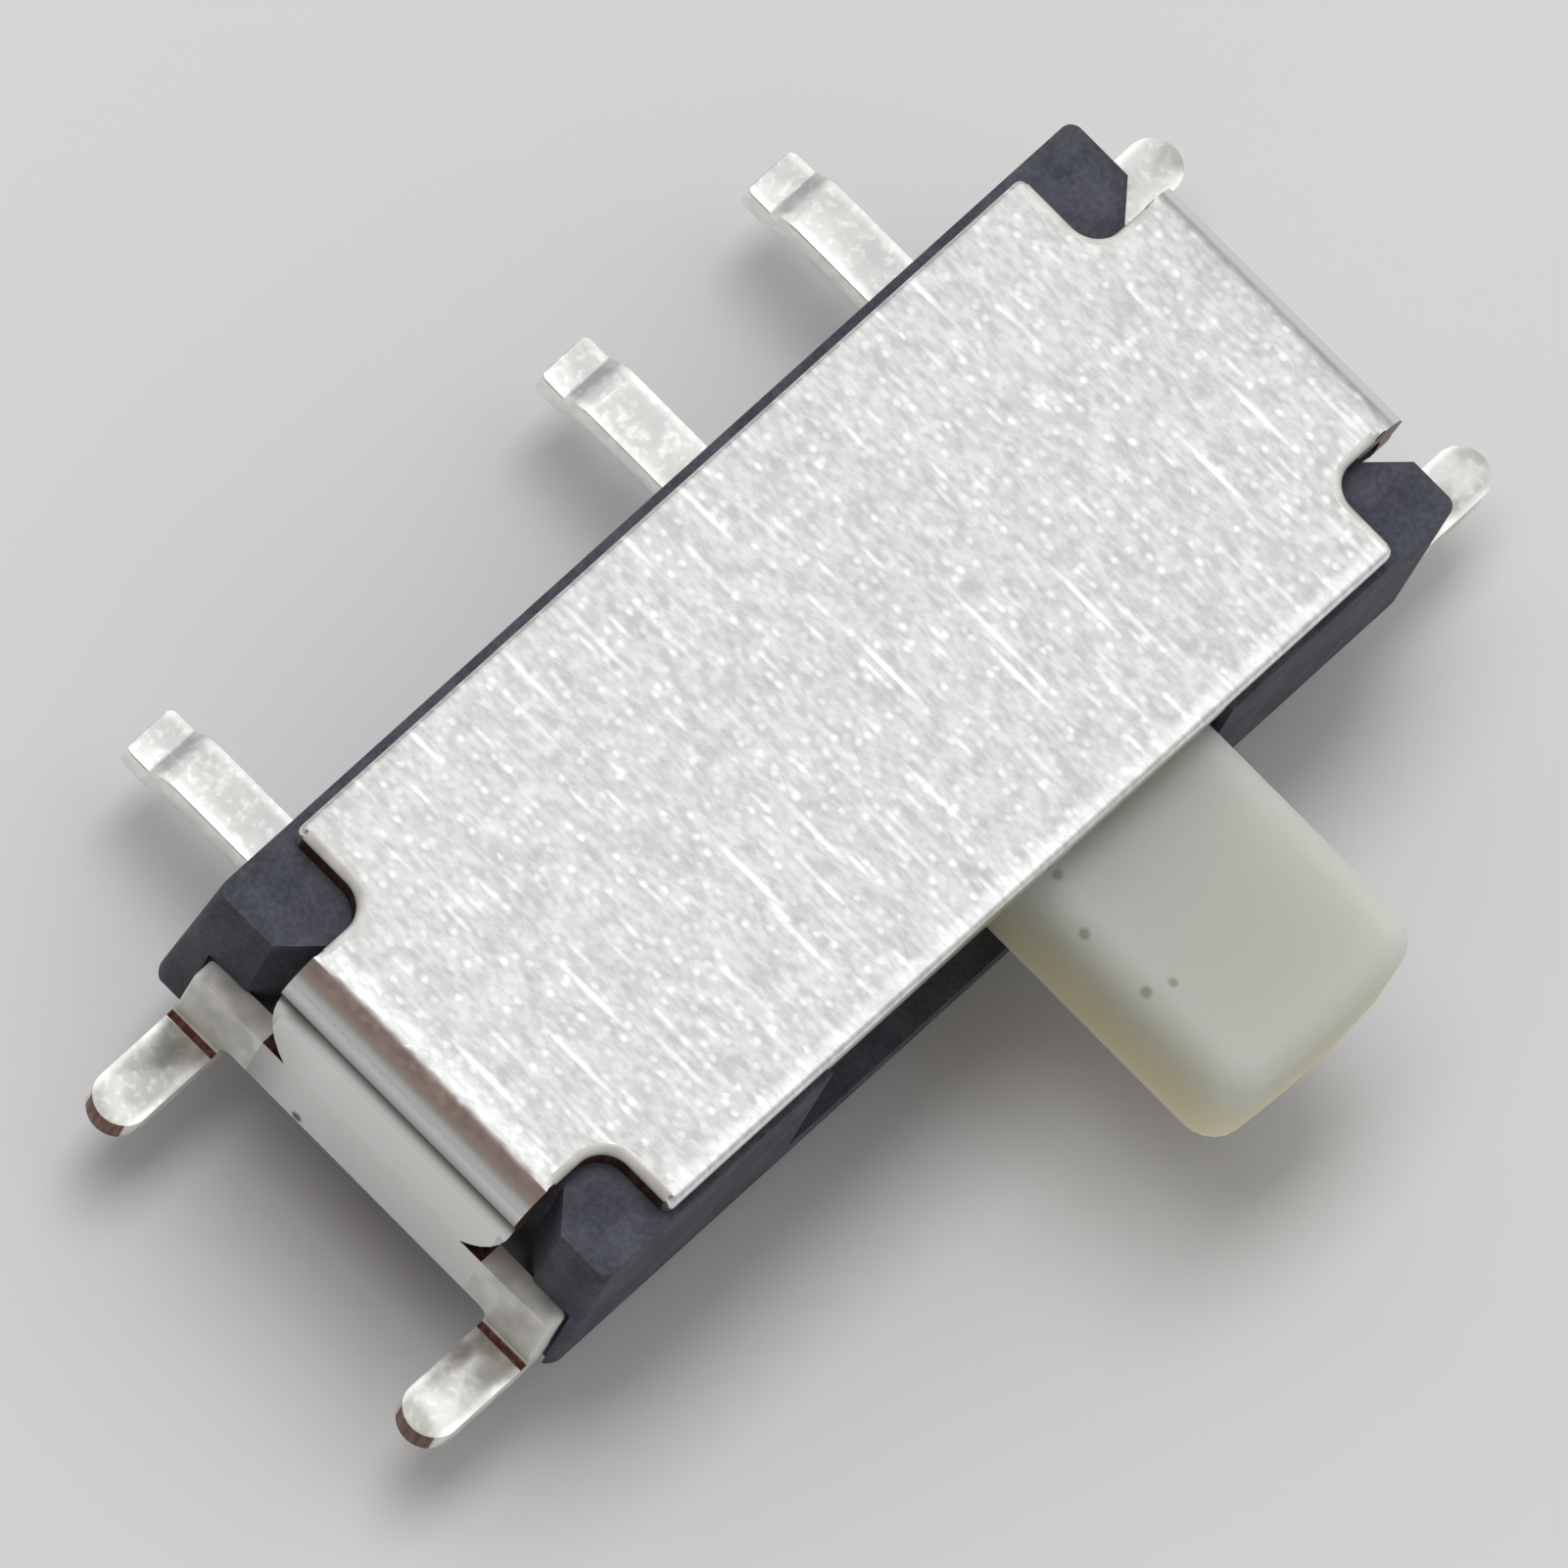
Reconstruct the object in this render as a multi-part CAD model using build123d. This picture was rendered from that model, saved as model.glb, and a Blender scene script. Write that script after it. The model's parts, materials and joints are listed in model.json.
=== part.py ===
from build123d import *
import os
from math import cos, radians, sin

# Surface-mount slide switch: one pole, two positions, with its handle on the side.
# A folded plated cover with four solder feet closes a moulded base that has three terminals set in it.
# Inside, a nylon slider carries a stamped contact clip over the terminals' inner pads.
# Frame: +X along the switch, +Y towards the terminals, +Z up from the board, whose face is at zero.
# The origin is midway between the two locating pegs. All lengths are in millimetres.

# Contact grid: terminals, pads, contact noses and the travel all follow one pitch
contact_pitch = 1.50

# Cover: one sheet, folded down at both ends
sheet_thickness = 0.15
cover_top = 1.40  # top face of the plate above the board
plate_front_inset = 0.03  # plate's front edge inside the base's front wall
plate_back_inset = 0.06  # plate's back edge inside the base's back wall
plate_corner = 0.05  # rounding of the plate's outer corners
notch_length = 0.47  # from the full width of the plate to the base's end
flange_width = 1.62
notch_radius = 0.17  # inner corner of each notch between plate and flange
cover_bend = 0.10  # inner radius of the fold between plate and flange
ear_top = 0.62  # upper edge of the ears above the board
ear_inset = 0.075  # outer edges of the ears and feet inside the base's front wall
ear_corner = 0.05
relief_height = 0.42  # curved slit that parts each ear from the flange
relief_depth = 0.20

# Solder feet: the ears' legs, folded outwards
foot_width = 0.31
foot_reach = 0.67  # tips of the feet from the flange's outer face
foot_bend = 0.05  # inner radius of the fold between leg and foot
foot_relief = 0.06  # radius where the flange's lower edge runs into a leg

# Base: moulded tray
end_wall = 0.36
front_reach = 1.31  # front wall's outer face from the centre line
back_reach = 1.395  # back wall's outer face from the centre line, at the top
back_flare = 0.065  # how far the back wall leans out towards the board
front_wall = 0.36
back_wall = 0.36
base_corner = 0.07  # rounding of the upright corners
base_chamfer = 0.05  # along the lower edges of the front and back walls
recess_depth = 0.20  # recess in each end, behind the flange
recess_flare = 0.17  # slant of the recess's sides
ear_hook = 0.04  # how far the base's shoulders reach over the ears, clearance included
peg_diameter = 0.75
peg_length = 0.50
peg_pitch = 3.00
peg_chamfer = 0.10

# Terminals: flat strips set in the base, stepped down to the board outside it
terminal_thickness = 0.15
terminal_width = 0.34
terminal_out = 0.89  # tips from the foot of the back wall
terminal_lift = 0.08  # height of the strip's underside where it leaves the base
terminal_tip = 0.19  # flat end of the strip, past the step
step_length = 0.10
step_bend = 0.11  # radius of the step's bends, at the middle of the strip
terminal_corner = 0.04
pad_length = 0.56  # stretch of pad round each contact place
pad_width = 0.80
detent_radius = 0.28  # trough that each contact nose clicks into
detent_depth = 0.03

# Slider: carriage inside the base, handle through the front wall
handle_width = 1.34
handle_reach = 2.78  # end of the handle from the centre line
handle_bottom = 0.27
handle_drop = 0.13  # top of the handle below the cover's plate
handle_crown = 0.04  # bulge of the handle's end
handle_tip_radius = 0.20
handle_edge_radius = 0.15
carriage_margin = 0.07  # how far each end of the carriage covers the tip of the clip
channel_depth = 0.55  # channel under the carriage that holds the clip
boss_diameter = 0.30
boss_head_diameter = 0.46
boss_head_height = 0.05

# Contact clip: one strip with two wiping fingers, split lengthwise
clip_thickness = 0.08
clip_width = 0.70
finger_slope = 30.0  # degrees
finger_bend = 0.15  # radius at the middle of the strip
nose_bend = 0.15
nose_rise = 40.0  # degrees by which the tip turns up again
finger_tip = 0.08
finger_slit = 0.10

# Clearances
cover_clearance = 0.02
slide_clearance = 0.03
contact_gap = 0.02  # contact nose over its pad
boss_clearance = 0.02
clip_clearance = 0.02  # clip in its channel
overrun = 0.50  # how far cutting shapes run past what they cut
upright_share = 0.9  # an edge that rises by more than this share of its length counts as upright

# Places worked out from the sizes above
rest_x = contact_pitch / 2  # middle of the slider, at its end position towards +X
nose_turn = radians(nose_rise)
nose_reach = (nose_bend + clip_thickness / 2) * sin(nose_turn) + finger_tip * cos(nose_turn)
carriage_half = contact_pitch + nose_reach + carriage_margin
cavity_half = rest_x + carriage_half + slide_clearance
cavity_front = front_wall - front_reach
cavity_back = back_reach - back_wall
back_foot = back_reach + back_flare
recess_x = cavity_half + end_wall
base_half = recess_x + recess_depth
ear_seat = base_half - ear_hook
cover_half = ear_seat + cover_clearance + sheet_thickness
plate_half = base_half - notch_length
plate_front = plate_front_inset - front_reach
plate_back = back_reach - plate_back_inset
flange_half = flange_width / 2
ear_half = front_reach - ear_inset
foot_inner = ear_half - foot_width
foot_y = ear_half - foot_width / 2
leg_bottom = sheet_thickness + foot_bend
flange_bottom = leg_bottom + foot_relief
base_top = cover_top - sheet_thickness
floor_top = terminal_lift + terminal_thickness
carriage_bottom = floor_top + slide_clearance
channel_top = carriage_bottom + channel_depth
handle_top = base_top - handle_drop


def block(low, high):
    """Rectangular solid between two opposite corners."""
    sizes = [top - bottom for bottom, top in zip(low, high)]
    return Pos(*low) * Box(*sizes, align=(Align.MIN, Align.MIN, Align.MIN))


def upright_edges(shape, x, front, back):
    """Edges along Z that stand that far along X, towards either end, and at one of the two places along Y."""
    def stands_there(edge):
        middle = edge.center()
        off_line = min(abs(middle.Y - front), abs(middle.Y - back))
        return abs(abs(middle.X) - x) < cover_clearance / 2 and off_line < cover_clearance / 2
    return shape.edges().filter_by(Axis.Z).filter_by(stands_there)


def folded_sheet():
    """The cover's sheet, folded down at both ends, before its outline is cut."""
    outer = block((-cover_half, plate_front, leg_bottom), (cover_half, plate_back, cover_top))
    outer_fold = outer.edges().filter_by(Axis.Y).group_by(Axis.Z)[-1]
    outer = fillet(outer_fold, cover_bend + sheet_thickness)
    inner_half = cover_half - sheet_thickness
    inner_low = (-inner_half, plate_front - overrun, leg_bottom - overrun)
    inner = block(inner_low, (inner_half, plate_back + overrun, base_top))
    inner_fold = inner.edges().filter_by(Axis.Y).group_by(Axis.Z)[-1]
    return outer - fillet(inner_fold, cover_bend)


def flange_outline():
    """Outline of one end as seen along X: flange, ears and the legs of the feet."""
    above = cover_top + overrun
    relief_top = (flange_half, ear_top + relief_height)
    relief_end = (flange_half - relief_depth, ear_top)
    leg_foot = (foot_inner, leg_bottom)
    leg_root = (foot_inner - foot_relief, flange_bottom)
    edge = [
        Line((0, above), (flange_half, above)),
        Line((flange_half, above), relief_top),
        TangentArc(relief_top, relief_end, tangent=(0, -1)),
        Polyline(relief_end, (ear_half, ear_top), (ear_half, leg_bottom), leg_foot),
        TangentArc(leg_foot, leg_root, tangent=(0, 1)),
        Polyline(leg_root, (0, flange_bottom), (0, above)),
    ]
    half = make_face(Curve() + edge)
    whole = half + mirror(half, about=Plane.YZ)
    ears = whole.vertices().filter_by(lambda v: abs(abs(v.X) - ear_half) < cover_clearance)
    return fillet(ears.group_by(Axis.Y)[-1], ear_corner)


def foot():
    """One foot at the +X end, on the centre plane: the fold and the flat tongue with its round tip."""
    fold_x = cover_half + foot_bend
    fold_outer = foot_bend + sheet_thickness
    tip_radius = foot_width / 2
    tube = Cylinder(fold_outer, foot_width) - Cylinder(foot_bend, foot_width)
    quarter = block((-fold_outer, -foot_width, -fold_outer), (0, foot_width, 0))
    fold = Pos(fold_x, 0, leg_bottom) * (Rot(X=90) * tube & quarter)
    tip_x = cover_half + foot_reach - tip_radius
    tongue = block((fold_x, -tip_radius, 0), (tip_x, tip_radius, sheet_thickness))
    tip = Pos(tip_x, 0, sheet_thickness / 2) * Cylinder(tip_radius, sheet_thickness)
    return fold + tongue + tip


def make_cover():
    """Cover: plate, two end flanges with ears, and four feet, all one sheet."""
    sheet = folded_sheet()
    plate = block((-plate_half, plate_front, base_top), (plate_half, plate_back, cover_top))
    end_reach = cover_half - plate_half + overrun
    end_shape = Pos(plate_half, 0, 0) * extrude(Plane.YZ * flange_outline(), end_reach)
    end = sheet & end_shape
    for side in (-1, 1):
        end += Pos(0, side * foot_y, 0) * foot()
    cover = plate + end + mirror(end, about=Plane.YZ)
    cover = fillet(upright_edges(cover, plate_half, -flange_half, flange_half), notch_radius)
    return fillet(upright_edges(cover, plate_half, plate_front, plate_back), plate_corner)


def terminal_blank(x, pad_low, pad_high):
    """Terminal before its detents are pressed: strip with a step outside, pad inside the base."""
    middle = terminal_thickness / 2
    raised = terminal_lift + middle
    tip_y = back_foot + terminal_out
    step_out = tip_y - terminal_tip
    path = FilletPolyline((tip_y, middle), (step_out, middle), (step_out - step_length, raised),
                          (pad_width / 2, raised), radius=step_bend)
    section = Plane.YZ * trace(path, terminal_thickness)
    strip = Pos(x, 0, 0) * extrude(section, terminal_width / 2, both=True)
    tip_edges = strip.edges().filter_by(Axis.Z).group_by(Axis.Y)[-1]
    strip = fillet(tip_edges, terminal_corner)
    pad = block((pad_low, -pad_width / 2, terminal_lift), (pad_high, pad_width / 2, floor_top))
    return strip + pad


def press_detents(blank, places):
    """Presses a trough across the pad at each contact place."""
    axis_z = floor_top - detent_depth + detent_radius
    for x in places:
        blank -= Pos(x, 0, axis_z) * Rot(X=90) * Cylinder(detent_radius, pad_width + overrun)
    return blank


def make_base(blanks):
    """Base: tray with a slot for the handle, recesses for the cover's ends, and two pegs."""
    section = make_face(Polyline((-front_reach, base_chamfer), (base_chamfer - front_reach, 0),
                                 (back_foot - base_chamfer, 0), (back_foot, base_chamfer),
                                 (back_reach, base_top), (-front_reach, base_top), close=True))
    base = extrude(Plane.YZ * section, base_half, both=True)
    corners = base.edges().filter_by(lambda edge: abs(edge.tangent_at(0).Z) > upright_share)
    base = fillet(corners, base_corner)
    base -= block((-cavity_half, cavity_front, floor_top), (cavity_half, cavity_back, cover_top))
    slot_half = (contact_pitch + handle_width) / 2 + slide_clearance
    sill = handle_bottom - slide_clearance
    slot_back = cavity_front + 2 * slide_clearance  # clears the handle's root inside the cavity too
    base -= block((-slot_half, -front_reach - overrun, sill), (slot_half, slot_back, cover_top))

    seat_half = flange_half + cover_clearance
    mouth_x = recess_x + overrun
    mouth_half = seat_half + recess_flare * overrun / recess_depth
    recess = make_face(Polyline((recess_x, -seat_half), (mouth_x, -mouth_half), (mouth_x, mouth_half),
                                (recess_x, seat_half), close=True))
    end_cut = extrude(recess, cover_top)
    ear_reach = ear_half + cover_clearance
    end_cut += block((ear_seat, -ear_reach, -overrun), (mouth_x, ear_reach, ear_top + cover_clearance))
    base -= end_cut + mirror(end_cut, about=Plane.YZ)

    peg = Cylinder(peg_diameter / 2, peg_length, align=(Align.CENTER, Align.CENTER, Align.MAX))
    peg = chamfer(peg.edges().group_by(Axis.Z)[0], peg_chamfer)
    for side in (-1, 1):
        base += Pos(side * peg_pitch / 2, 0, 0) * peg
    for blank in blanks:
        base -= blank
    return base


def make_slider():
    """Slider: carriage with a channel and a riveted boss for the clip, and the handle."""
    front = cavity_front + slide_clearance
    back = cavity_back - slide_clearance
    carriage_top = base_top - slide_clearance
    half = carriage_half
    carriage = block((-half, front, carriage_bottom), (half, back, carriage_top))
    channel_half = clip_width / 2 + clip_clearance
    carriage -= block((-half, -channel_half, carriage_bottom), (half, channel_half, channel_top))

    shoulder = handle_crown - handle_reach
    left, right = -handle_width / 2, handle_width / 2
    end = ThreePointArc((left, shoulder), (0, -handle_reach), (right, shoulder))
    sides = Polyline((right, shoulder), (right, front), (left, front), (left, shoulder))
    handle = Pos(0, 0, handle_bottom) * extrude(make_face([end, sides]), handle_top - handle_bottom)
    tip_edges = handle.edges().filter_by(Axis.Z).group_by(Axis.Y)[0]
    handle = fillet(tip_edges, handle_tip_radius)
    rims = handle.faces().sort_by(Axis.Z)
    root_face = handle.faces().sort_by(Axis.Y)[-1]
    root_edges = root_face.edges()
    rim_edges = rims[0].edges() + rims[-1].edges()
    handle = fillet([edge for edge in rim_edges if edge not in root_edges], handle_edge_radius)

    shank = Cylinder(boss_diameter / 2, clip_thickness, align=(Align.CENTER, Align.CENTER, Align.MAX))
    head = Cylinder(boss_head_diameter / 2, boss_head_height, align=(Align.CENTER, Align.CENTER, Align.MAX))
    boss = Pos(0, 0, channel_top) * shank + Pos(0, 0, channel_top - clip_thickness) * head
    return Pos(rest_x, 0, 0) * (carriage + handle + boss)


def make_contact_clip():
    """Contact clip: flat middle riveted under the slider, two sprung fingers with rounded noses."""
    slope = radians(finger_slope)
    flat_z = channel_top - clip_thickness / 2
    nose_z = floor_top + contact_gap + clip_thickness / 2
    bends = finger_bend + nose_bend
    arm = (flat_z - nose_z - bends * (1 - cos(slope))) / sin(slope)
    flat_half = contact_pitch - bends * sin(slope) - arm * cos(slope)
    flat = Line((0, flat_z), (flat_half, flat_z))
    bend = JernArc(flat @ 1, flat % 1, finger_bend, -finger_slope)
    slant = Line(bend @ 1, bend @ 1 + bend % 1 * arm)
    nose = JernArc(slant @ 1, slant % 1, nose_bend, finger_slope + nose_rise)
    tip = Line(nose @ 1, nose @ 1 + nose % 1 * finger_tip)
    section = Plane.XZ * trace(Curve() + [flat, bend, slant, nose, tip], clip_thickness)
    finger = extrude(section, clip_width / 2, both=True)
    slit_start = flat_half + finger_slit
    slit_half = finger_slit / 2
    finger -= block((slit_start, -slit_half, 0), (contact_pitch + overrun, slit_half, channel_top))
    clip = finger + mirror(finger, about=Plane.YZ)
    hole = Cylinder(boss_diameter / 2 + boss_clearance, overrun)
    return Pos(rest_x, 0, 0) * (clip - Pos(0, 0, flat_z) * hole)


outer_x = contact_pitch * 3 / 2
common_half = (contact_pitch + pad_length) / 2
terminals = {
    "terminal_left": (-outer_x, -outer_x - pad_length / 2, -outer_x + pad_length / 2),
    "terminal_common": (rest_x, -common_half, common_half),
    "terminal_right": (outer_x, outer_x - pad_length / 2, outer_x + pad_length / 2),
}
contact_places = (-outer_x, -rest_x, rest_x, outer_x)

parts = {"cover": make_cover(), "slider": make_slider(), "contact_clip": make_contact_clip()}
blanks = {name: terminal_blank(*places) for name, places in terminals.items()}
parts["base"] = make_base(blanks.values())
for name, blank in blanks.items():
    low, high = terminals[name][1:]
    parts[name] = press_detents(blank, [x for x in contact_places if low < x < high])

os.makedirs("parts", exist_ok=True)
for name, shape in parts.items():
    export_step(shape, f"parts/{name}.step")
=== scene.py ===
import json
from math import radians

import bmesh
import bpy
from mathutils import Euler, Matrix, Vector


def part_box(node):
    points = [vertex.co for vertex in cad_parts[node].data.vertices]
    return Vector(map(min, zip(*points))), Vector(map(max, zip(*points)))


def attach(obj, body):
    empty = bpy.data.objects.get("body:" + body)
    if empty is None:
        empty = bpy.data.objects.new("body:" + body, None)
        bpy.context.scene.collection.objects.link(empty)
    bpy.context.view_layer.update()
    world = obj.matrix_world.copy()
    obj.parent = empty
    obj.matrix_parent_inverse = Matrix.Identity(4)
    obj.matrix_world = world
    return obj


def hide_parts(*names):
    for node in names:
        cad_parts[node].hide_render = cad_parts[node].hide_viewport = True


# Looks of a surface-mount slide switch: plated cover, black base, tinned terminals and a nylon slider.
# Every piece is a finished copy of its solid, with the rounded edges and folds that light picks out.
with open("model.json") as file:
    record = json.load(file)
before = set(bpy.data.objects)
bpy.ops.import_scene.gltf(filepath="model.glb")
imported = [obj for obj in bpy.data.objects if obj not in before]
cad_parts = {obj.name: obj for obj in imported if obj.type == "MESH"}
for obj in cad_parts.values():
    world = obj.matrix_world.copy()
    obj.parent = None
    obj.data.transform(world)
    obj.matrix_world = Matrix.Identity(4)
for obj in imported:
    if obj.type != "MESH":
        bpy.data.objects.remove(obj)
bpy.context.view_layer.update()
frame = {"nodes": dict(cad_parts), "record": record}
MM = 0.001
SMOOTH = {"interpolation_type": 'SMOOTHSTEP'}  # setting of a node that maps a range
COLOURS = {"data_type": 'RGBA'}  # setting of a node that mixes

# Edge roundings, in millimetres
RIM_ROUND = 0.045  # stamped upper rim of the cover's plate, less than the plate's corners have in plan
RIM_STEEP, RIM_FLAT = 0.15, 0.99  # a face of that rim has an upward share of its normal between these
FOOT_ROUND = 0.045  # edges of the cover's feet
EAR_ROUND = 0.022  # edges of the cover's ears and legs
STRIP_ROUND = 0.035  # edges of the terminals
CLIP_ROUND = 0.012
MOULD_ROUND = 0.018  # edges of the moulded base
NYLON_ROUND = 0.015
ROUND_STEPS = 3
SHARP_TURN = radians(35)  # edges that turn by more than this stay crisp
FLAT_TURN = radians(0.5)  # faces that turn by less than this are one flat face
MERGE_GAP = 0.0005  # corners of a solid's mesh that lie this close, in millimetres, are one corner

# The cover's folds, in millimetres
FOLD_START = 0.25  # the fold begins this far inside the cover's end
ROLL_LENGTHS = (0.08, 0.04)  # rows this far before the fold, from the first of which the plate dips
ROLL_DEPTH = 0.004  # dip of the plate where the fold begins
FOLD_BULGE = 0.045  # how far the fold stands out from the flange below it
BULGE_TOP = 1.21  # height above which the fold keeps its full round
BULGE_BOTTOM = 1.11  # height at which the flange stands back the farthest
FLANGE_ROWS = (0.95, 0.80, 0.65, 0.45)  # heights of the rows that let the flange bow out again below that
CREASE, CREASE_LOW, CREASE_HIGH = 1.125, 1.00, 1.34  # heights of the painted shade in the crease under each fold, a dark band for the dark reflection there
FLANGE_BARE = 0.9  # above this height the cut edges of the sheet are bare
FLANGE_EVEN = 0.25  # height at which the flange is back in the fold's plane
FOOT_TOP = 0.16  # everything lower, past the flange, belongs to a foot
EAR_START = 0.76  # ears and legs lie past this, from the middle
FOLD_MIDDLE = 0.65  # the folds are even up to this, from the middle, and have rounded corners past it
SLIT_END = 0.90  # the slits beside the ears lie nearer the middle than this
SLIT_START = 0.6  # and farther from the middle than this
SHADED_BEND_TOP = 0.175  # below this, the bends of the feet take the dark cut-edge colour as painted shade
FOOT_CLEAR = 0.04  # the flat of a foot begins this far past the flange
TOP_GAP = 0.01  # edges this near the cover's top belong to its upper rim
RIM_MARGIN = 1.1  # faces are looked for this many roundings inside the rim

# Which way the cover's faces point, as shares of a normal along an axis
FACING = 0.7  # more than this: the face points along the axis
SIDELONG = 0.3  # less than this: the face runs along the axis
BEND_SIDE = 0.5  # the faces of a bend have less than this across the foot

# The cover's finishes, in the order of its materials
PLATED, SHEARED, SMEARED, DIPPED = range(4)

# Where the looks of a surface change, in millimetres
BRUSHED_LOW, BRUSHED_HIGH = 1.34, 1.385  # heights at which the plate's brushing begins and is full, and below which the flanges' painted even brightness holds
RIM_HIGHLIGHT_START, RIM_HIGHLIGHT_FULL = -1.15, -1.215  # painted highlight along the plate's front rim, for the light its rolled edge catches
STRIP_HIGHLIGHT_START, STRIP_HIGHLIGHT_FULL = 0.10, 0.15  # painted highlights along the long rims of the tinned strips, from a strip's middle
STRAW_TOP, MILKY_BOTTOM = 0.25, 1.05  # heights between which the nylon turns from straw to milky

# Strips in a row: every terminal lies on the one grid, and so does every foot, half a step from the middle
TERMINAL_SPACING = 1.50
FOOT_SPACING = 2.16

# Photograph's view: its size in pixels, the turns of the switch seen from the camera, and the camera's place
PHOTO_SIZE = 1601
VIEW_TURNS = (-6.7027, 24.2670, 42.1381)  # degrees about X, Y and Z
PIXELS_PER_MM = 207.908
CENTRE_SHIFT = (4.41, 11.43)  # pixels right and down from the picture's middle to the origin
CAMERA_DISTANCE = 314.6  # millimetres
SENSOR_WIDTH = 36.0

# Studio, in millimetres
FLOOR_HALF = 400.0
LAMP_SIZE = (160.0, 56.0)  # along the switch and across it
LAMP_DISTANCE = 150.0
LAMP_TOWARDS = (0.06, 0.27, 0.96)
LAMP_WATTS = 0.106

# Light of the room: directions, shares of a direction at which a zone begins and is full, and levels of light
BRIGHT_SIDE = (0.91, 0.415, 0.0)  # the lit half of the room
BRIGHT_START, BRIGHT_FULL = 0.0, 0.30
BRIGHT_LOW, BRIGHT_HIGH = 0.45, 0.95  # its light at the horizon and high up
BRIGHT_HIGH_FROM = 0.65  # upward share of a direction that counts as high up
BROWN_SIDE = (-0.50, 0.0, 0.866)  # a warm dark patch, seen in the cover's fold
BROWN_START, BROWN_FULL = 0.70, 0.93
DIM_LIGHT = (0.46, 0.465, 0.475, 1)  # the rest of the room
BROWN_LIGHT = (0.26, 0.20, 0.17, 1)
STRIP_NEAR, STRIP_FAR = (0.08, 0.16), (0.40, 0.32)  # a bright strip overhead, across the switch
STRIP_HIGH_START, STRIP_HIGH_FULL = 0.75, 0.93
STRIP_LIGHT = 0.48

# Specks: place in the part's frame and radius, in millimetres
NYLON_SPECKS = (
    ((0.216, -1.313, 1.12), 0.040),
    ((0.115, -1.611, 1.067), 0.045),
    ((0.125, -2.029, 1.077), 0.045),
    ((0.247, -2.088, 1.12), 0.036),
)
# A small dark spot on the flange.
FLANGE_SPECKS = (((-3.223, 0.415, 0.30), 0.045),)


def linear(colour):
    """An sRGB hex colour as linear RGBA."""
    shares = [int(colour[start:start + 2], 16) / 255 for start in (1, 3, 5)]
    return [s / 12.92 if s <= 0.04045 else ((s + 0.055) / 1.055) ** 2.4 for s in shares] + [1.0]


def add(tree, kind, values=None, links=None, **settings):
    """Adds one node: its settings, the constants on its sockets and the outputs that feed it."""
    made = tree.nodes.new("ShaderNode" + kind)
    for name, value in settings.items():
        setattr(made, name, value)
    for socket, value in (values or {}).items():
        made.inputs[socket].default_value = value
    for socket, source in (links or {}).items():
        tree.links.new(source, made.inputs[socket])
    return made


def start_material(name):
    """An empty material, with its shader and the place on the piece in metres."""
    material = bpy.data.materials.new(name)
    material.use_nodes = True
    tree = material.node_tree
    return material, tree, tree.nodes["Principled BSDF"], add(tree, "TexCoord").outputs["Object"]


def marks(tree, place, sizes, low, high, detail=1.0):
    """A field of soft-edged marks of the given sizes in millimetres; a higher low leaves fewer of them."""
    scale = [1 / (size * MM) for size in sizes]
    spread = add(tree, "Mapping", {"Scale": scale}, {"Vector": place})
    noise = add(tree, "TexNoise", {"Scale": 1.0, "Detail": detail}, {"Vector": spread.outputs[0]})
    return add(tree, "MapRange", {1: low, 2: high}, {0: noise.outputs[0]}, **SMOOTH).outputs[0]


def strokes(tree, place, sizes, radius):
    """Scattered soft strokes of uneven strength, at most one to a cell of the given sizes in millimetres.

    The radius is a share of the cell, so long cells hold long thin strokes.
    """
    scale = [1 / (size * MM) for size in sizes]
    spread = add(tree, "Mapping", {"Scale": scale}, {"Vector": place}).outputs[0]
    cells = add(tree, "TexVoronoi", {"Scale": 1.0}, {"Vector": spread}, voronoi_dimensions='2D').outputs
    spots = add(tree, "MapRange", {1: radius, 2: radius / 5}, {0: cells["Distance"]}, **SMOOTH).outputs[0]
    uneven = add(tree, "MapRange", {1: 0.25, 2: 0.90}, {0: cells["Color"]}).outputs[0]
    return add(tree, "Math", links={0: spots, 1: uneven}, operation='MULTIPLY').outputs[0]


def weigh(tree, *weighted):
    """The sum of several fields, each times its weight."""
    total = None
    for field, weight in weighted:
        links = {0: field} if total is None else {0: field, 2: total}
        total = add(tree, "Math", {1: weight, 2: 0.0} if total is None else {1: weight}, links,
                    operation='MULTIPLY_ADD').outputs[0]
    return total


def add_specks(tree, place, colour, specks, dirt, strength):
    """A colour with small soft dark spots on it."""
    for spot, radius in specks:
        centre = [value * MM for value in spot]
        away = add(tree, "VectorMath", {1: centre}, {0: place}, operation='DISTANCE').outputs["Value"]
        limits = {1: radius * MM, 2: radius * MM / 3, 4: strength}
        spotted = add(tree, "MapRange", limits, {0: away}, **SMOOTH).outputs[0]
        colour = add(tree, "Mix", {7: linear(dirt)}, {0: spotted, 6: colour}, **COLOURS).outputs[2]
    return colour


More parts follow.
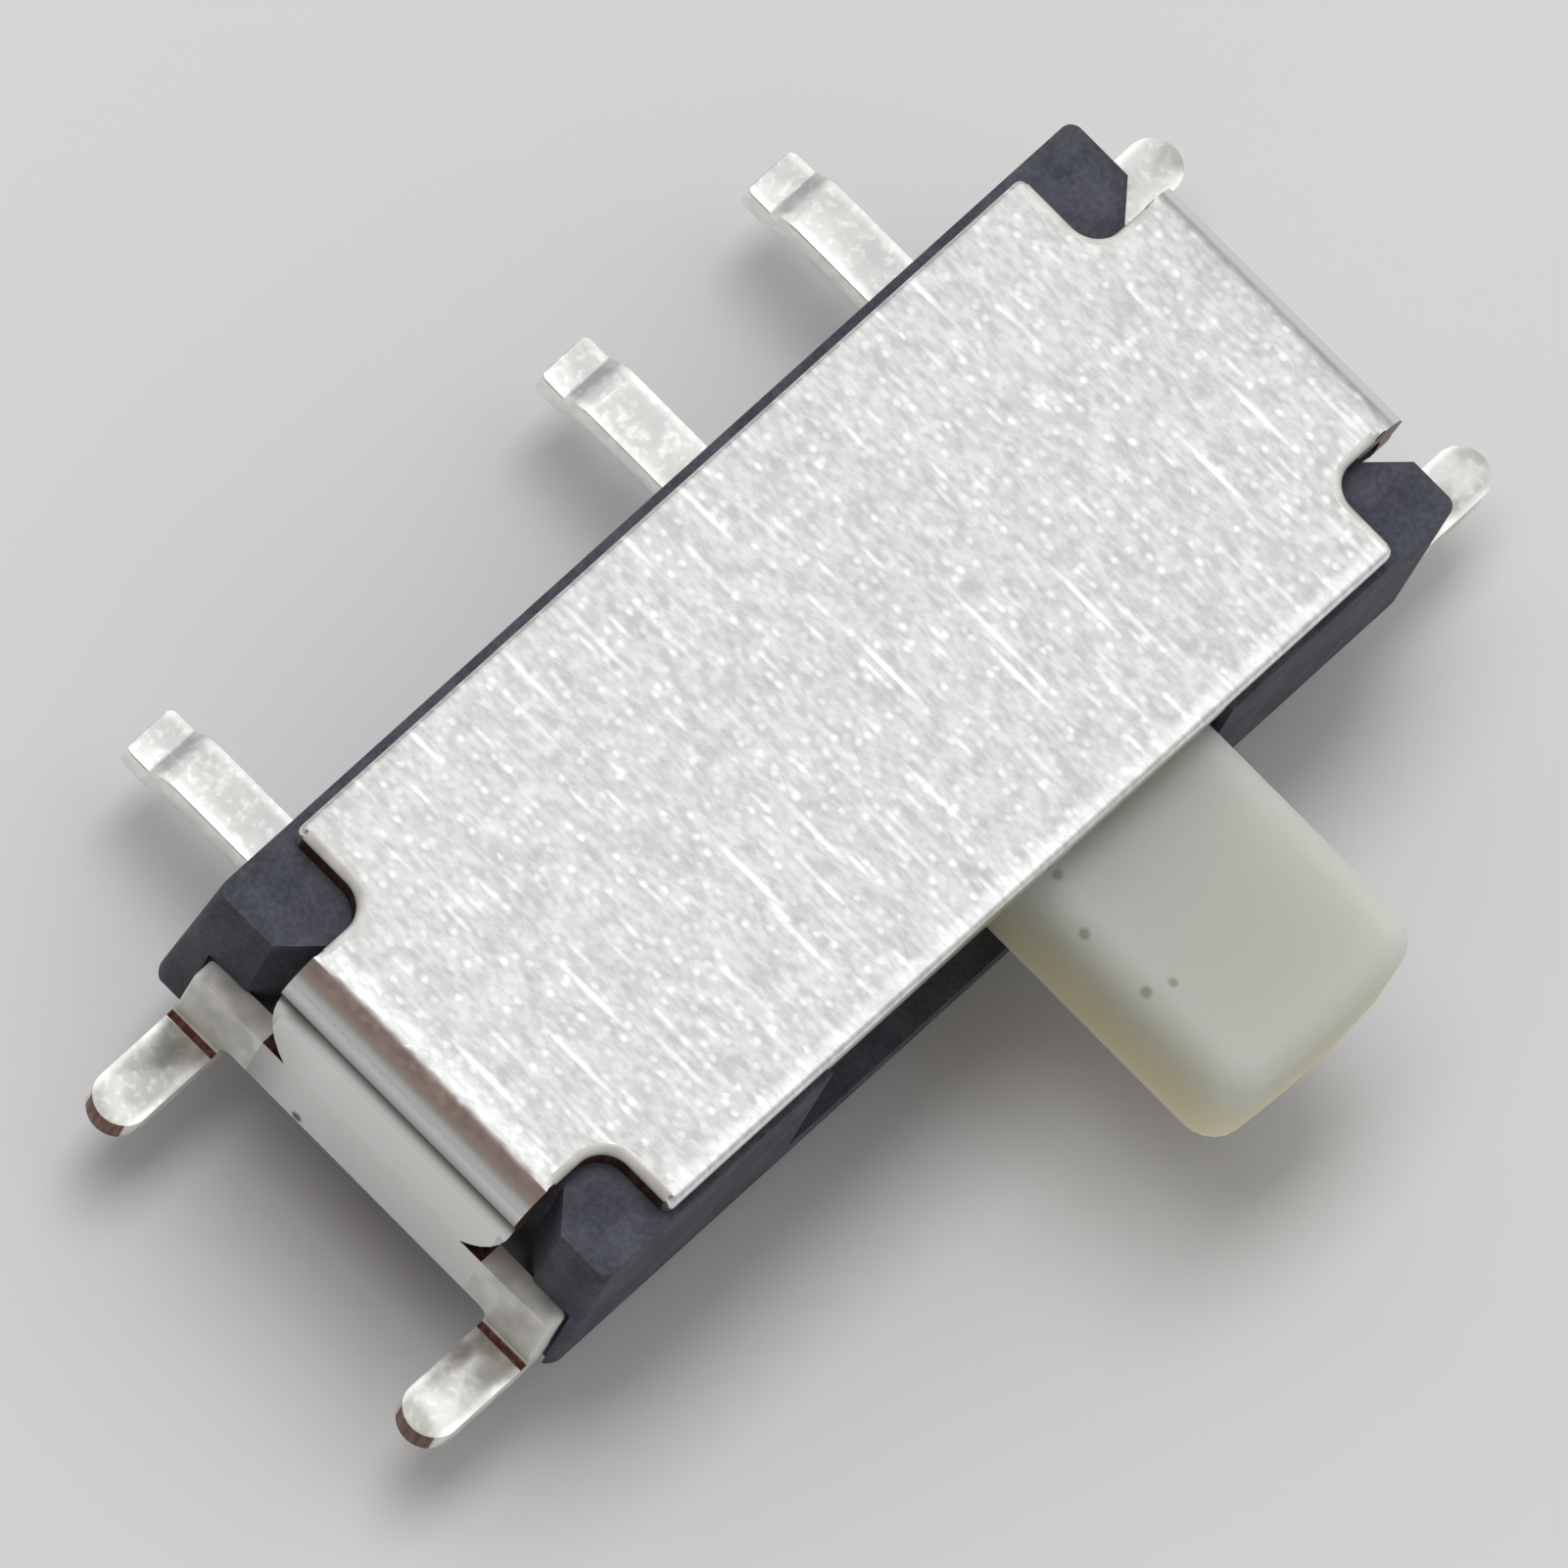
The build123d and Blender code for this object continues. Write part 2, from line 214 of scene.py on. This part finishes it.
def tin_plated_steel():
    """Tin-plated steel strip: satin grey with bright scratches, painted glints, a painted highlight along the
    plate's front rim, flanges painted an even brighter grey, and painted shade in the crease below each fold.
    """
    material, tree, shader, place = start_material("tin_plated_steel")
    axes = add(tree, "SeparateXYZ", links={0: place}).outputs
    brushed = {1: BRUSHED_LOW * MM, 2: BRUSHED_HIGH * MM}
    on_top = add(tree, "MapRange", brushed, {0: axes[2]}, **SMOOTH).outputs[0]
    # Painted highlight: a bright band along the plate's front rim.
    front_rim = {1: RIM_HIGHLIGHT_START * MM, 2: RIM_HIGHLIGHT_FULL * MM}
    front_rim_highlight = add(tree, "MapRange", front_rim, {0: axes[1]}, **SMOOTH).outputs[0]
    scratches = strokes(tree, place, (0.14, 1.90, 1.0), 0.17)
    short_scratches = strokes(tree, place, (0.10, 0.55, 1.0), 0.20)
    # Painted glints: soft bright spots in the colour, standing in for sparkle on the plate.
    glints = strokes(tree, place, (0.075, 0.095, 1.0), 0.36)
    brushing = marks(tree, place, (0.035, 0.080, 0.080), 0.25, 0.75, detail=2.0)
    clouds = marks(tree, place, (0.16, 0.20, 0.20), 0.25, 0.75, detail=2.0)
    # These lines carry the painted front-rim highlight as well as the scratches.
    lines = weigh(tree, (scratches, 0.95), (short_scratches, 0.60), (front_rim_highlight, 0.40))
    # This grain carries the painted glints as well as the brushing and clouds.
    grain = weigh(tree, (glints, 0.60), (brushing, 0.45), (clouds, 0.20))
    marks_and_painted_sheen = add(tree, "Math", links={0: lines, 1: grain}, operation='ADD').outputs[0]
    unbrushed_brightened = {6: (0.65, 0.65, 0.65, 1)}  # the flanges are unbrushed and take an even, brighter share of the tin: painted brightness for the light they reflect
    seen = add(tree, "Mix", unbrushed_brightened, {0: on_top, 7: marks_and_painted_sheen}, clamp_result=True, **COLOURS).outputs[2]
    plate = add(tree, "Mix", {6: linear("#C3C4C2"), 7: linear("#FFFFFD")}, {0: seen}, **COLOURS).outputs[2]
    # Painted shade: a dark band in the crease under each fold, for the dark reflection there.
    above = add(tree, "MapRange", {1: CREASE_LOW * MM, 2: CREASE * MM}, {0: axes[2]}, **SMOOTH).outputs[0]
    below = add(tree, "MapRange", {1: CREASE_HIGH * MM, 2: CREASE * MM}, {0: axes[2]}, **SMOOTH).outputs[0]
    crease = add(tree, "Math", links={0: above, 1: below}, operation='MULTIPLY').outputs[0]
    crease_shaded = add(tree, "Mix", {7: linear("#665D59")}, {0: crease, 6: plate}, **COLOURS).outputs[2]
    colour = add_specks(tree, place, crease_shaded, FLANGE_SPECKS, "#2E2A26", 0.85)
    tree.links.new(colour, shader.inputs["Base Color"])
    grooves = add(tree, "Bump", {"Strength": 0.10, "Distance": 0.003 * MM}, {"Height": marks_and_painted_sheen})
    tree.links.new(grooves.outputs[0], shader.inputs["Normal"])
    shader.inputs["Metallic"].default_value = 1.0
    shader.inputs["Roughness"].default_value = 0.20
    return material


def sheared_steel():
    """The strip's cut edge, bare of plating: dull brown steel with shear lines through its thickness."""
    material, tree, shader, place = start_material("sheared_steel")
    # Shear lines are finer than this on a real edge, and are drawn this coarse to show.
    lines = marks(tree, place, (0.03, 0.03, 0.25), 0.35, 0.70)
    browns = {6: linear("#6A4A3D"), 7: linear("#84695D")}
    tree.links.new(add(tree, "Mix", browns, {0: lines}, **COLOURS).outputs[2], shader.inputs["Base Color"])
    shader.inputs["Metallic"].default_value = 1.0
    shader.inputs["Roughness"].default_value = 0.45
    return material


def dull_tin():
    """Tin smeared in stamping and bending, on notches, ears and legs: pale grey, with no mirror image."""
    material, tree, shader, place = start_material("dull_tin")
    smears = marks(tree, place, (0.14, 0.14, 0.20), 0.30, 0.70)
    greys = {6: linear("#D2D2CB"), 7: linear("#EAEAE4")}
    tree.links.new(add(tree, "Mix", greys, {0: smears}, **COLOURS).outputs[2], shader.inputs["Base Color"])
    shader.inputs["Metallic"].default_value = 0.5
    shader.inputs["Roughness"].default_value = 0.55
    return material


def hot_tin(name, dark, patch_size, patch_weight, grain_weight, lump_strength, axis, spacing):
    """Strips dipped in tin: bright, with painted highlights along their long rims, and paler patches where
    the tin is thick.
    """
    material, tree, shader, place = start_material(name)
    patches = marks(tree, place, (patch_size, patch_size, patch_size), 0.36, 0.66, detail=2.0)
    grain = marks(tree, place, (0.050, 0.050, 0.050), 0.48, 0.76)
    across = add(tree, "SeparateXYZ", links={0: place}).outputs[axis]
    moved = add(tree, "Math", {1: spacing * MM / 2}, {0: across}, operation='ADD').outputs[0]
    off_middle = add(tree, "Math", {1: spacing * MM / 2}, {0: moved}, operation='PINGPONG').outputs[0]
    # Painted highlights along the long rims of each strip.
    highlight_limits = {1: STRIP_HIGHLIGHT_START * MM, 2: STRIP_HIGHLIGHT_FULL * MM}
    rims = add(tree, "MapRange", highlight_limits, {0: off_middle}, **SMOOTH).outputs[0]
    tin = weigh(tree, (patches, patch_weight), (grain, grain_weight), (rims, 0.60))
    tins = {6: linear(dark), 7: linear("#FFFFFC")}
    mixed = add(tree, "Mix", tins, {0: tin}, clamp_factor=True, **COLOURS).outputs[2]
    tree.links.new(mixed, shader.inputs["Base Color"])
    lumps = add(tree, "Bump", {"Strength": lump_strength, "Distance": 0.004 * MM}, {"Height": patches})
    tree.links.new(lumps.outputs[0], shader.inputs["Normal"])
    shader.inputs["Metallic"].default_value = 1.0
    shader.inputs["Roughness"].default_value = 0.22
    return material


def glass_filled_plastic():
    """Black glass-filled plastic, moulded: charcoal with a blue cast and a fine dry grain."""
    material, tree, shader, place = start_material("black_glass_filled_plastic")
    # Glass fibres are about 0.01 mm thick, and their grain is drawn coarser to show.
    grain = marks(tree, place, (0.03, 0.03, 0.03), 0.30, 0.75, detail=2.0)
    clouds = marks(tree, place, (0.25, 0.25, 0.25), 0.35, 0.70)
    tone = weigh(tree, (grain, 0.45), (clouds, 0.45))
    blacks = {6: linear("#3F414A"), 7: linear("#5B5D65")}
    tree.links.new(add(tree, "Mix", blacks, {0: tone}, **COLOURS).outputs[2], shader.inputs["Base Color"])
    skin = add(tree, "Bump", {"Strength": 0.35, "Distance": 0.006 * MM}, {"Height": grain})
    tree.links.new(skin.outputs[0], shader.inputs["Normal"])
    shader.inputs["Roughness"].default_value = 0.60
    shader.inputs["Specular IOR Level"].default_value = 0.1
    return material


def natural_nylon():
    """Undyed nylon, moulded: milky and translucent, waxy on its edges, with a few specks of dirt."""
    material, tree, shader, place = start_material("natural_nylon")
    height = add(tree, "SeparateXYZ", links={0: place}).outputs[2]
    heights = {1: STRAW_TOP * MM, 2: MILKY_BOTTOM * MM}
    raised = add(tree, "MapRange", heights, {0: height}, **SMOOTH).outputs[0]
    whites = {6: linear("#C8BF9A"), 7: linear("#B4B7B1")}
    milky = add(tree, "Mix", whites, {0: raised}, **COLOURS).outputs[2]
    colour = add_specks(tree, place, milky, NYLON_SPECKS, "#5A5447", 0.5)
    tree.links.new(colour, shader.inputs["Base Color"])
    skin = marks(tree, place, (0.06, 0.06, 0.06), 0.30, 0.70)
    wax = add(tree, "Bump", {"Strength": 0.10, "Distance": 0.004 * MM}, {"Height": skin})
    tree.links.new(wax.outputs[0], shader.inputs["Normal"])
    shader.inputs["Roughness"].default_value = 0.55
    shader.inputs["Specular IOR Level"].default_value = 0.3
    shader.inputs["Subsurface Weight"].default_value = 1.0
    shader.inputs["Subsurface Radius"].default_value = (1.0, 0.95, 0.70)
    shader.inputs["Subsurface Scale"].default_value = 1.6 * MM
    return material


def silvered_bronze():
    """Silver-plated spring bronze: smooth and faintly warm, with fine rolling lines along the strip."""
    material, tree, shader, place = start_material("silvered_spring_bronze")
    rolling = marks(tree, place, (0.6, 0.015, 0.6), 0.35, 0.70)
    silvers = {6: linear("#CFC7B4"), 7: linear("#EDE8DC")}
    tree.links.new(add(tree, "Mix", silvers, {0: rolling}, **COLOURS).outputs[2], shader.inputs["Base Color"])
    shader.inputs["Metallic"].default_value = 1.0
    shader.inputs["Roughness"].default_value = 0.25
    return material


def copy_of(node):
    """A merged copy of a solid's mesh, with its flat faces whole again."""
    shape = bmesh.new()
    shape.from_mesh(frame["nodes"][node].data)
    bmesh.ops.remove_doubles(shape, verts=shape.verts, dist=MERGE_GAP * MM)
    bmesh.ops.dissolve_limit(shape, angle_limit=FLAT_TURN, verts=shape.verts, edges=shape.edges)
    return shape


def sharp_edges(shape, chosen=None):
    """Edges where two faces meet at a crisp angle, all of them or those that the test picks."""
    crisp = [edge for edge in shape.edges if edge.is_manifold and edge.calc_face_angle() > SHARP_TURN]
    return [edge for edge in crisp if chosen is None or chosen(edge)]


def round_edges(shape, edges, radius, steps=ROUND_STEPS, held_back=True):
    """Rounds edges by a radius in millimetres, or by less where short edges meet them and hold it back."""
    bmesh.ops.bevel(shape, geom=edges, offset=radius * MM, segments=steps, profile=0.5, affect='EDGES',
                    material=-1, clamp_overlap=held_back, offset_type='OFFSET')


def finish(shape, name, node, materials):
    """Makes the piece: smooth but for its crisp edges, riding where its solid rides and standing for it."""
    for face in shape.faces:
        face.smooth = True
    for edge in shape.edges:
        edge.smooth = edge.calc_face_angle(0.0) < SHARP_TURN
    mesh = bpy.data.meshes.new(name)
    shape.to_mesh(mesh)
    shape.free()
    for material in materials:
        mesh.materials.append(material)
    piece = bpy.data.objects.new(name, mesh)
    bpy.context.scene.collection.objects.link(piece)
    even = piece.modifiers.new("even_shading", 'WEIGHTED_NORMAL')
    even.keep_sharp = True
    body = next(b for b, nodes in frame["record"]["behaviour"]["bodies"].items() if node in nodes)
    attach(piece, body)
    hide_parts(node)
    return piece


def cut(shape, place, normal, chosen=None):
    """Cuts new edges where a plane meets the shape: all its faces, or those whose centres the test picks."""
    faces = [face for face in shape.faces if chosen is None or chosen(face.calc_center_median())]
    edges = dict.fromkeys(edge for face in faces for edge in face.edges)
    verts = dict.fromkeys(vert for face in faces for vert in face.verts)
    bmesh.ops.bisect_plane(shape, geom=[*verts, *edges, *faces], plane_co=place, plane_no=normal)


def bulge_folds(shape, end, top):
    """Dips the plate into its folds and sets the flanges a little behind them, as bending does."""
    fold_x = end - FOLD_START * MM

    def on_flange(centre):
        return centre.z < FLANGE_BARE * MM

    def on_fold(centre):
        return abs(centre.x) > fold_x - ROLL_LENGTHS[0] * MM and not on_flange(centre)

    for height in (BULGE_TOP, (BULGE_TOP + BULGE_BOTTOM) / 2, BULGE_BOTTOM, *FLANGE_ROWS, FLANGE_EVEN):
        cut(shape, (0, 0, height * MM), (0, 0, 1))
    for side in (-1, 1):
        for length in ROLL_LENGTHS:
            cut(shape, (side * (fold_x - length * MM), 0, 0), (1, 0, 0))
    for side in (-1, 1):
        cut(shape, (0, side * EAR_START * MM, 0), (0, 1, 0), on_flange)
        cut(shape, (0, side * FOLD_MIDDLE * MM, 0), (0, 1, 0), on_fold)
    for vert in shape.verts:
        rolled = (abs(vert.co.x) - fold_x) / (ROLL_LENGTHS[0] * MM) + 1
        if vert.co.z > top - ROLL_DEPTH * MM and rolled > 0:
            vert.co.z -= ROLL_DEPTH * MM * min(rolled, 1) ** 2
        outside = abs(vert.co.x) > end - FOLD_BULGE * MM
        height = vert.co.z / MM
        if outside and FLANGE_EVEN < height < BULGE_TOP:
            falling = (BULGE_TOP - height) / (BULGE_TOP - BULGE_BOTTOM)
            rising = (height - FLANGE_EVEN) / (BULGE_BOTTOM - FLANGE_EVEN)
            depth = FOLD_BULGE * MM * min(falling, rising ** 2, 1.0)
            vert.co.x -= depth if vert.co.x > 0 else -depth


def cover_finish(face, flange_x, low, high):
    """Which finish a face of the cover has: plated, sheared bare, smeared with tin, or dipped in it; the
    feet's bends take the sheared colour as painted shade.
    """
    place, normal = face.calc_center_median(), face.normal
    rim = RIM_MARGIN * RIM_ROUND * MM
    on_plate = abs(place.x) < flange_x - FOLD_START * MM
    long_side = on_plate and not low.y + rim < place.y < high.y - rim
    cut_side = abs(normal.y) > FACING or on_plate and abs(normal.z) < SIDELONG
    sheared_above = place.z > FLANGE_BARE * MM and cut_side
    rounded_rim = on_plate and place.z > high.z - rim and RIM_STEEP < normal.z < RIM_FLAT
    if rounded_rim and not long_side:
        return SMEARED
    on_foot = abs(place.x) > flange_x + FOOT_CLEAR * MM and place.z < FOOT_TOP * MM
    if on_foot and abs(normal.x) > FACING or sheared_above and not long_side:
        return SHEARED
    if on_foot:
        return DIPPED
    off_middle = abs(place.y) / MM
    if place.z > FLANGE_BARE * MM:
        return PLATED
    # The slits' walls are cut edges, and their dark colour also stands in for the shade in the slits; the
    # feet's bends take that colour as painted shade.
    in_slit = abs(normal.x) < SIDELONG and SLIT_START < off_middle < SLIT_END and place.z > FOOT_TOP * MM
    shaded_bend = abs(normal.y) < BEND_SIDE and off_middle > EAR_START and place.z < SHADED_BEND_TOP * MM
    if in_slit or shaded_bend:
        return SHEARED
    return SMEARED if off_middle > EAR_START else PLATED


def make_cover():
    """The cover: rounded rims, folds that stand out over the flanges, and sheared edges."""
    low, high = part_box("cover")
    shape = copy_of("cover")
    flange_x = max(abs(vert.co.x) for vert in shape.verts if vert.co.z > FLANGE_EVEN * MM)

    def on_upper_rim(edge):
        return all(v.co.z > high.z - TOP_GAP * MM for v in edge.verts)

    def on_foot(edge):
        return all(v.co.z < FOOT_TOP * MM and abs(v.co.x) > flange_x + FOOT_CLEAR * MM for v in edge.verts)

    def on_ear(edge):
        low_end, high_end = FLANGE_EVEN * MM, FLANGE_BARE * MM
        return all(abs(v.co.y) > SLIT_END * MM and low_end < v.co.z < high_end for v in edge.verts)

    round_edges(shape, sharp_edges(shape, on_upper_rim), RIM_ROUND, held_back=False)
    bulge_folds(shape, flange_x, high.z)
    for face in shape.faces:
        face.material_index = cover_finish(face, flange_x, low, high)
    round_edges(shape, sharp_edges(shape, on_foot), FOOT_ROUND)
    round_edges(shape, sharp_edges(shape, on_ear), EAR_ROUND, held_back=False)
    dipped = hot_tin("tin_dipped_steel", "#B4B3AE", patch_size=0.26, patch_weight=0.55, grain_weight=0.25,
                     lump_strength=0.25, axis=1, spacing=FOOT_SPACING)
    finishes = [tin_plated_steel(), sheared_steel(), dull_tin(), dipped]
    finish(shape, "cover_sheet", "cover", finishes)


def make_base():
    """The base: black moulding with softened edges."""
    shape = copy_of("base")
    round_edges(shape, sharp_edges(shape), MOULD_ROUND, steps=2)
    finish(shape, "base_moulding", "base", [glass_filled_plastic()])


def make_terminals():
    """Three terminals: stamped strips with rounded edges."""
    tin = hot_tin("tinned_brass", "#D4D4D2", patch_size=0.13, patch_weight=0.25, grain_weight=0.55,
                  lump_strength=0.10, axis=0, spacing=TERMINAL_SPACING)
    for side in ("left", "common", "right"):
        shape = copy_of(f"terminal_{side}")
        round_edges(shape, sharp_edges(shape), STRIP_ROUND)
        finish(shape, f"terminal_strip_{side}", f"terminal_{side}", [tin])


def make_slider():
    """The slider: nylon moulding with softened edges."""
    shape = copy_of("slider")
    round_edges(shape, sharp_edges(shape), NYLON_ROUND, steps=2)
    finish(shape, "slider_moulding", "slider", [natural_nylon()])


def make_clip():
    """The contact clip: stamped strip with rounded edges."""
    shape = copy_of("contact_clip")
    round_edges(shape, sharp_edges(shape), CLIP_ROUND, steps=2)
    finish(shape, "clip_strip", "contact_clip", [silvered_bronze()])


def make_floor():
    """A plain pale floor that the pegs stand on."""
    low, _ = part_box("base")
    shape = bmesh.new()
    bmesh.ops.create_grid(shape, x_segments=1, y_segments=1, size=FLOOR_HALF * MM)
    bmesh.ops.translate(shape, verts=shape.verts, vec=(0, 0, low.z))
    mesh = bpy.data.meshes.new("floor")
    shape.to_mesh(mesh)
    shape.free()
    material, _, shader, _ = start_material("pale_matt_paper")
    shader.inputs["Base Color"].default_value = linear("#D5D6D6")
    shader.inputs["Roughness"].default_value = 0.9
    shader.inputs["Specular IOR Level"].default_value = 0.1
    mesh.materials.append(material)
    floor = bpy.data.objects.new("floor", mesh)
    bpy.context.scene.collection.objects.link(floor)


def light_room():
    """A pale room, brighter on one side, with a warm dark patch opposite, and one long soft lamp overhead."""
    world = bpy.data.worlds.new("room")
    bpy.context.scene.world = world
    world.use_nodes = True
    tree = world.node_tree
    towards = add(tree, "TexCoord").outputs["Generated"]
    axes = add(tree, "SeparateXYZ", links={0: towards}).outputs
    lit = add(tree, "VectorMath", {1: BRIGHT_SIDE}, {0: towards}, operation='DOT_PRODUCT').outputs["Value"]
    half = add(tree, "MapRange", {1: BRIGHT_START, 2: BRIGHT_FULL}, {0: lit}, **SMOOTH).outputs[0]
    warm = add(tree, "VectorMath", {1: BROWN_SIDE}, {0: towards}, operation='DOT_PRODUCT').outputs["Value"]
    patch = add(tree, "MapRange", {1: BROWN_START, 2: BROWN_FULL}, {0: warm}, **SMOOTH).outputs[0]
    dim = add(tree, "Mix", {6: DIM_LIGHT, 7: BROWN_LIGHT}, {0: patch}, **COLOURS)
    levels = {1: 0.0, 2: BRIGHT_HIGH_FROM, 3: BRIGHT_LOW, 4: BRIGHT_HIGH}
    level = add(tree, "MapRange", levels, {0: axes[2]}, **SMOOTH).outputs[0]
    room = add(tree, "Mix", links={0: half, 6: dim.outputs[2], 7: level}, **COLOURS)
    near, far = ({1: start, 2: full} for start, full in (STRIP_NEAR, STRIP_FAR))
    strip_start = add(tree, "MapRange", near, {0: axes[0]}, **SMOOTH).outputs[0]
    strip_end = add(tree, "MapRange", far, {0: axes[0]}, **SMOOTH).outputs[0]
    high_up = {1: STRIP_HIGH_START, 2: STRIP_HIGH_FULL, 4: STRIP_LIGHT}
    overhead = add(tree, "MapRange", high_up, {0: axes[2]}, **SMOOTH).outputs[0]
    strip = add(tree, "Math", links={0: strip_start, 1: strip_end}, operation='MULTIPLY').outputs[0]
    glow = add(tree, "Math", links={0: strip, 1: overhead}, operation='MULTIPLY').outputs[0]
    whole = add(tree, "VectorMath", links={0: room.outputs[2], 1: glow}, operation='ADD').outputs[0]
    tree.links.new(whole, tree.nodes["Background"].inputs["Color"])

    lamp = bpy.data.lights.new("overhead_lamp", 'AREA')
    lamp.shape = 'ELLIPSE'
    lamp.size, lamp.size_y = (size * MM for size in LAMP_SIZE)
    lamp.energy = LAMP_WATTS
    holder = bpy.data.objects.new("overhead_lamp", lamp)
    direction = Vector(LAMP_TOWARDS).normalized()
    holder.location = direction * LAMP_DISTANCE * MM
    across = direction.cross((1, 0, 0)).normalized()
    holder.rotation_euler = Matrix((across.cross(direction), across, direction)).transposed().to_euler()
    holder.visible_camera = False
    holder.visible_glossy = False
    bpy.context.scene.collection.objects.link(holder)


def set_camera():
    """The photograph's view: a long lens, looking down on the switch from its near end."""
    lens = bpy.data.cameras.new("photo_view")
    lens.sensor_width = SENSOR_WIDTH
    lens.lens = SENSOR_WIDTH * PIXELS_PER_MM * CAMERA_DISTANCE / PHOTO_SIZE
    lens.clip_start = 0.01
    lens.clip_end = 10.0
    camera = bpy.data.objects.new("photo_view", lens)
    turned = Euler([radians(angle) for angle in VIEW_TURNS], 'XYZ').to_matrix().transposed()
    right, down = (shift / PIXELS_PER_MM for shift in CENTRE_SHIFT)
    camera.rotation_euler = turned.to_euler()
    camera.location = turned @ Vector((-right, down, CAMERA_DISTANCE)) * MM
    bpy.context.scene.collection.objects.link(camera)
    bpy.context.scene.camera = camera


make_cover()
make_base()
make_terminals()
make_slider()
make_clip()
make_floor()
light_room()
set_camera()
bpy.context.scene.view_settings.view_transform = 'Standard'
